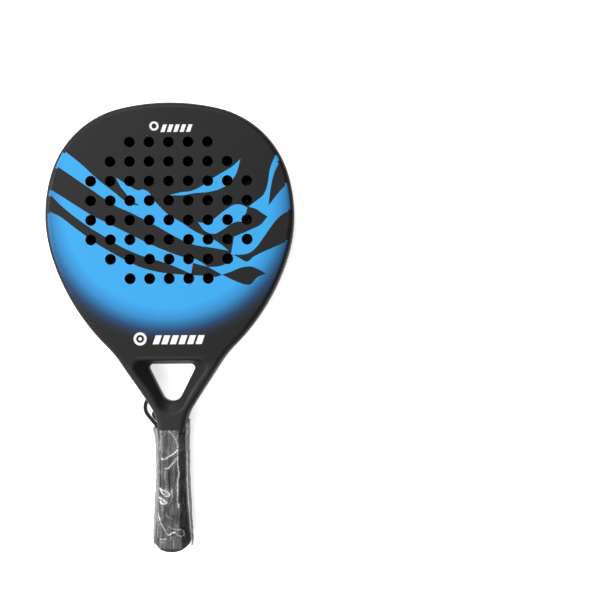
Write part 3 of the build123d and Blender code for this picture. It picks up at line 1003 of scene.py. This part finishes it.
def crease_front(grid, lift, white):
    """Raises and whitens the creases on the sleeve's front, partly as stress whitening and partly as
    painted highlight, and whitens its patches.
    """
    upper = grid[..., 2] > MID / MM
    places = grid[..., :2][upper]
    broken = np.array([0.72 + 0.9 * noise.noise(Vector((x * 0.9, y * 0.9, 4.0))) for x, y in places])
    for height, half_width, whiteness, line in CREASES:
        near = distance_to(places, line)
        crest = np.exp(-(near / half_width) ** 2) + 0.22 * np.exp(-(near / (3.2 * half_width)) ** 2)
        lift[upper] = np.maximum(lift[upper], height * np.exp(-(near / (1.5 * half_width)) ** 2))
        white[upper] = np.maximum(white[upper], whiteness * np.clip(crest * broken, 0, 1))
    for across, along, whiteness, (x, station) in PATCHES:
        near = np.hypot((places[:, 0] - x) / across, (places[:, 1] - station) / along)
        white[upper] = np.maximum(white[upper], whiteness * np.exp(-near ** 2) * broken)


def film_seam_and_shade(grid, beyond, stations):
    """Smokiness of the two pressed sides: partly their layered film, partly painted shade and dark
    reflection.
    """
    places, lefts, rights = zip(*SEAM_HAZE_AND_SHADE)
    left, right = (np.interp(stations, places, values)[:, None] for values in (lefts, rights))
    return beyond * np.where(grid[..., 0] < 0, left, right)


def add_film(material):
    """Loose clear sleeve over the handle and the cord, crumpled and creased."""
    stations = np.linspace(FILM_START, FILM_END, FILM_RINGS)
    sizes = np.array([grip_size(min(station, GRIP_END)) for station in stations])
    grid = film_grid(stations)
    haze = film_haze(grid, sizes)
    lift = fold_heights(stations)
    # Painted highlight in part: the highest fold crests are whitened.
    white = FOLD_WHITENESS_AND_HIGHLIGHT * (lift / lift.max()) ** 3
    crease_front(grid, lift, white)
    low, rise, least = FLOOR_FLAT
    lift *= np.clip((grid[..., 2] - low) / rise, least, 1.0)
    outward, start, over = NECK_EASE
    eased = outward * np.clip((start - grid[..., 1]) / over, 0, 1)
    lift += eased * np.clip(grid[..., 2] - NECK_FROM, 0, 1)
    grid = grid + outward_normals(grid) * lift[..., None]
    points = [spot(*place) for place in grid.reshape(-1, 3)]
    faces = grid_faces(FILM_RINGS, FILM_SIDES)
    made = add_piece("grip_sleeve", points, faces, material, ["grip_film"], 75)
    beyond = np.clip((np.abs(grid[..., 0]) - sizes[:, :1] / 2 - SEAM_EDGE[0]) / SEAM_EDGE[1], 0, 1)
    white *= 1 - CREASE_LOSS * beyond
    # Partly painted shade: the pressed sides' smoky grey.
    seam = film_seam_and_shade(grid, beyond, stations)
    for name, values in (("crease", white), ("seam", seam), ("haze", haze)):
        attribute = made.data.attributes.new(name, "FLOAT", "POINT")
        attribute.data.foreach_set("value", values.ravel())
    wall = made.modifiers.new("wall", "SOLIDIFY")
    wall.thickness = FILM_WALL * MM
    wall.offset = 0


# Stage

def add_light(name, place, size, power):
    """Square soft box that points at the racket's middle."""
    data = bpy.data.lights.new(name, "AREA")
    data.size = size
    data.energy = power
    made = bpy.data.objects.new(name, data)
    made.location = place
    made.rotation_euler = (-Vector(place)).to_track_quat("-Z", "Y").to_euler()
    bpy.context.scene.collection.objects.link(made)


def add_sky():
    """Soft light from all round, strongest from the upper left, before a plain white backdrop."""
    world = bpy.data.worlds.new("studio")
    world.use_nodes = True
    nodes, links = world.node_tree.nodes, world.node_tree.links
    facing = nodes.new("ShaderNodeVectorMath")
    facing.operation = "DOT_PRODUCT"
    facing.inputs[1].default_value = SKY_SIDE
    links.new(nodes.new("ShaderNodeTexCoord").outputs["Generated"], facing.inputs[0])
    spread = nodes.new("ShaderNodeMapRange")
    for socket, value in zip(("From Min", "From Max", "To Min", "To Max"), SKY):
        spread.inputs[socket].default_value = value
    links.new(facing.outputs["Value"], spread.inputs["Value"])
    seen = nodes.new("ShaderNodeMix")
    seen.inputs["B"].default_value = BACKDROP
    links.new(nodes.new("ShaderNodeLightPath").outputs["Is Camera Ray"], seen.inputs["Factor"])
    links.new(spread.outputs[0], seen.inputs["A"])
    links.new(seen.outputs[0], nodes["Background"].inputs["Strength"])
    nodes["Background"].inputs["Color"].default_value = (1, 1, 1, 1)
    bpy.context.scene.world = world


def floor_material():
    """Pale paint that glows a little, but for the place under the head, which is painted darker as shade.
    """
    paint = Paint("floor", Roughness=0.9, Specular_IOR_Level=0.0, Emission_Color=(1, 1, 1, 1))
    x, y, _ = paint.axes()
    along = paint.math("SUBTRACT", y, HEAD_MIDDLE)
    squares = [paint.math("MULTIPLY", value, value) for value in (x, along)]
    away = paint.span(paint.math("SQRT", paint.math("ADD", *squares)), *GLOW_EDGE)
    paint.set("Emission Strength", paint.math("MULTIPLY", away, FLOOR_GLOW))
    pale = paint.blend(paint.noise(3.0), *FLOOR_PALE)
    # Painted shade: darker colour under the head.
    paint.set("Base Color", paint.blend(away, FLOOR_PAINTED_SHADE, pale))
    return paint.material


def add_stage():
    """Pale floor that glows a little, with painted shade under the head, and soft studio light."""
    mesh = bpy.data.meshes.new("floor")
    corners = [(-1, -1), (1, -1), (1, 1), (-1, 1)]
    mesh.from_pydata([(FLOOR_REACH * x, FLOOR_REACH * y, 0) for x, y in corners], [], [(0, 1, 2, 3)])
    mesh.materials.append(floor_material())
    ground = bpy.data.objects.new("floor", mesh)
    bpy.context.scene.collection.objects.link(ground)
    add_sky()
    bpy.context.scene.view_settings.view_transform = "Standard"
    for light in LIGHTS:
        add_light(*light)


def paint_nodes(lacquer):
    """Materials of the CAD nodes that are shown as they are."""
    # The EVA foam seen in the hole walls is coloured darker than its black paint, as painted shade inside
    # the holes.
    eva = foam_material("eva_foam", (0.004, 0.004, 0.004), (0.0015, 0.0015, 0.0015), 2400.0)
    filler = foam_material("filler_foam", (0.62, 0.57, 0.46), (0.50, 0.45, 0.36), 1500.0)
    looks = {"frame_tube": lacquer, "throat_bridge": lacquer_material("bridge_lacquer", None),
             "foam_core": eva, "handle_filler": filler, "butt_cap": cap_material(),
             "finishing_band": vinyl_material()}
    for node, material in looks.items():
        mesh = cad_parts[node].data
        mesh.materials.clear()
        mesh.materials.append(material)


add_camera()
add_cord(braid_material())
outline, middles = sheet_loops()
layers = artwork()
cut = cut_sheet(outline, middles, layers)
prints = print_materials()
add_face("front_print", "front_face", False, prints, cut, middles)
add_face("back_print", "back_face", True, prints, cut, middles)
paint_nodes(lacquer_material("frame_lacquer", rim_switches(outline, layers)))
add_grip(cushion_material())
add_film(film_material())
add_stage()
